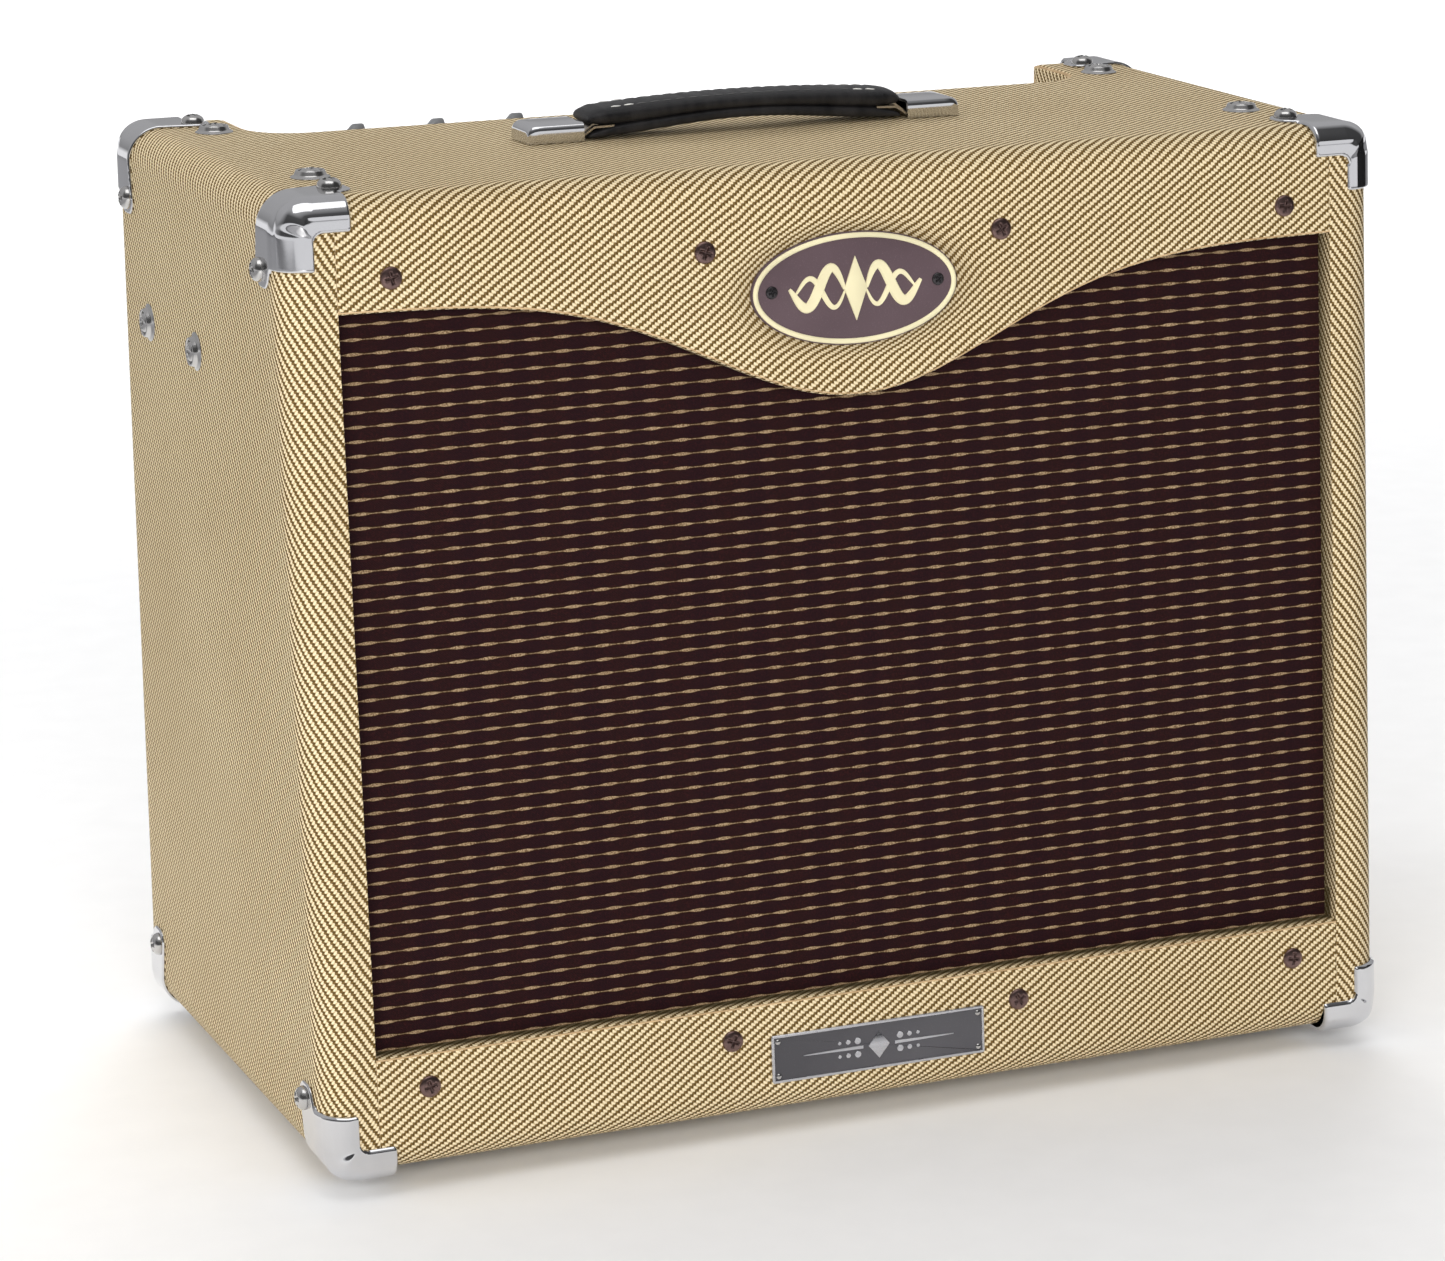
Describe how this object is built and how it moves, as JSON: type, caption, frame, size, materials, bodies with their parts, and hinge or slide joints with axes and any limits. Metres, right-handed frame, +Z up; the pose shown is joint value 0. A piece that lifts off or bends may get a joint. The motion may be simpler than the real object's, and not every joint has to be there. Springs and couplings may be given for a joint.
{
  "type": "guitar amplifier",
  "caption": "Open-backed valve guitar combo amplifier in tweed, with a leaning grille front, chrome corners, a strap handle and a recessed top control panel.",
  "frame": {"origin": "on the floor under the middle of the cabinet, at the undersides of the feet", "axes": "+Z up, the grille faces -Y, +X is to the right as seen from the front"},
  "size_m": [0.507, 0.2789, 0.4311],
  "materials": {
    "tweed": "board covered in cream and brown diagonal tweed cloth, lacquered",
    "baffle": "plain plywood",
    "grille_cloth": "aubergine grille cloth with gold slub threads",
    "rubber": "matt black rubber",
    "chrome": "polished",
    "badge": "moulded, with a cream rim",
    "plate": "silver with a dark grey field",
    "strap": "satin black moulded strap",
    "knob_plastic": "grey pointer knobs with a cream line",
    "circuit_board": "green board",
    "black_plastic": "moulded black",
    "toggle_steel": "polished",
    "lamp_jewel": "faceted red jewel",
    "valve_glass": "clear, silvered at the tip",
    "guard_steel": "satin black",
    "core_iron": "black laminations with a paper-wrapped winding",
    "tank_steel": "zinc-plated",
    "basket_steel": "black pressed steel",
    "cone_paper": "dark pressed paper"
  },
  "bodies": {
    "cabinet": {"side_panel_left": "tweed", "side_panel_right": "tweed", "top_panel": "tweed", "bottom_panel": "tweed", "front_top_rail": "tweed", "front_bottom_rail": "tweed", "lower_rear_panel": "tweed", "baffle_board": "baffle", "grille_cloth": "grille_cloth", "foot_front_left": "rubber", "foot_front_right": "rubber", "foot_rear_left": "rubber", "foot_rear_right": "rubber", "corner_front_top_left": "chrome", "corner_front_top_right": "chrome", "corner_front_bottom_left": "chrome", "corner_front_bottom_right": "chrome", "corner_rear_top_left": "chrome", "corner_rear_top_right": "chrome", "corner_rear_bottom_left": "chrome", "corner_rear_bottom_right": "chrome", "handle_cap_left": "chrome", "handle_cap_right": "chrome", "chassis": "chrome", "oval_badge": "badge", "name_plate": "plate", "control_board": "circuit_board", "input_jack_low": "black_plastic", "input_jack_high": "black_plastic", "footswitch_jack": "black_plastic", "speaker_jack": "black_plastic", "mains_inlet": "black_plastic", "fuse_holder": "black_plastic", "pilot_lamp": "lamp_jewel", "power_tube_1": "valve_glass", "power_tube_2": "valve_glass", "power_tube_3": "valve_glass", "power_tube_4": "valve_glass", "preamp_tube_1": "valve_glass", "preamp_tube_2": "valve_glass", "preamp_tube_3": "valve_glass", "tube_guard": "guard_steel", "power_transformer": "core_iron", "output_transformer": "core_iron", "reverb_tank": "tank_steel", "speaker_basket": "basket_steel", "speaker_magnet": "basket_steel"},
    "knob_treble": {"knob_treble": "knob_plastic"},
    "knob_middle": {"knob_middle": "knob_plastic"},
    "knob_bass": {"knob_bass": "knob_plastic"},
    "knob_reverb": {"knob_reverb": "knob_plastic"},
    "knob_normal": {"knob_normal": "knob_plastic"},
    "knob_lead_post": {"knob_lead_post": "knob_plastic"},
    "knob_lead_pre": {"knob_lead_pre": "knob_plastic"},
    "power_toggle": {"power_toggle": "toggle_steel"},
    "standby_toggle": {"standby_toggle": "toggle_steel"},
    "boost_button": {"boost_button": "black_plastic"},
    "channel_button": {"channel_button": "black_plastic"},
    "speaker_cone": {"speaker_cone": "cone_paper"},
    "handle": {"handle_strap": "strap"}
  },
  "joints": [
    {"name": "treble_turn", "type": "hinge", "parent": "cabinet", "child": "knob_treble", "pos_m": [-0.155, 0.093, 0.39256], "axis": [0, 0.2079, 0.9781], "range_deg": [-60, 240]},
    {"name": "middle_turn", "type": "hinge", "parent": "cabinet", "child": "knob_middle", "pos_m": [-0.1175, 0.093, 0.39256], "axis": [0, 0.2079, 0.9781], "range_deg": [-60, 240]},
    {"name": "bass_turn", "type": "hinge", "parent": "cabinet", "child": "knob_bass", "pos_m": [-0.08, 0.093, 0.39256], "axis": [0, 0.2079, 0.9781], "range_deg": [-60, 240]},
    {"name": "reverb_turn", "type": "hinge", "parent": "cabinet", "child": "knob_reverb", "pos_m": [-0.0425, 0.093, 0.39256], "axis": [0, 0.2079, 0.9781], "range_deg": [-60, 240]},
    {"name": "normal_turn", "type": "hinge", "parent": "cabinet", "child": "knob_normal", "pos_m": [-0.005, 0.093, 0.39256], "axis": [0, 0.2079, 0.9781], "range_deg": [-60, 240]},
    {"name": "lead_post_turn", "type": "hinge", "parent": "cabinet", "child": "knob_lead_post", "pos_m": [0.0325, 0.093, 0.39256], "axis": [0, 0.2079, 0.9781], "range_deg": [-60, 240]},
    {"name": "lead_pre_turn", "type": "hinge", "parent": "cabinet", "child": "knob_lead_pre", "pos_m": [0.07, 0.093, 0.39256], "axis": [0, 0.2079, 0.9781], "range_deg": [-60, 240]},
    {"name": "power_flip", "type": "hinge", "parent": "cabinet", "child": "power_toggle", "pos_m": [-0.12, 0.119, 0.357], "axis": [1, 0, 0], "range_deg": [0, 25]},
    {"name": "standby_flip", "type": "hinge", "parent": "cabinet", "child": "standby_toggle", "pos_m": [-0.095, 0.119, 0.357], "axis": [1, 0, 0], "range_deg": [0, 25]},
    {"name": "boost_press", "type": "slide", "parent": "cabinet", "child": "boost_button", "axis": [0, -0.2079, -0.9781], "range_m": [0, 0.003], "stiffness_N_per_m": 600, "springref_m": -0.001},
    {"name": "channel_press", "type": "slide", "parent": "cabinet", "child": "channel_button", "axis": [0, -0.2079, -0.9781], "range_m": [0, 0.003], "stiffness_N_per_m": 600, "springref_m": -0.001},
    {"name": "cone_travel", "type": "slide", "parent": "cabinet", "child": "speaker_cone", "axis": [0, -0.998, 0.064], "range_m": [-0.004, 0.004], "stiffness_N_per_m": 4000},
    {"name": "handle_lift", "type": "slide", "parent": "cabinet", "child": "handle", "axis": [0, 0, 1], "range_m": [0, 0.0035]}
  ]
}
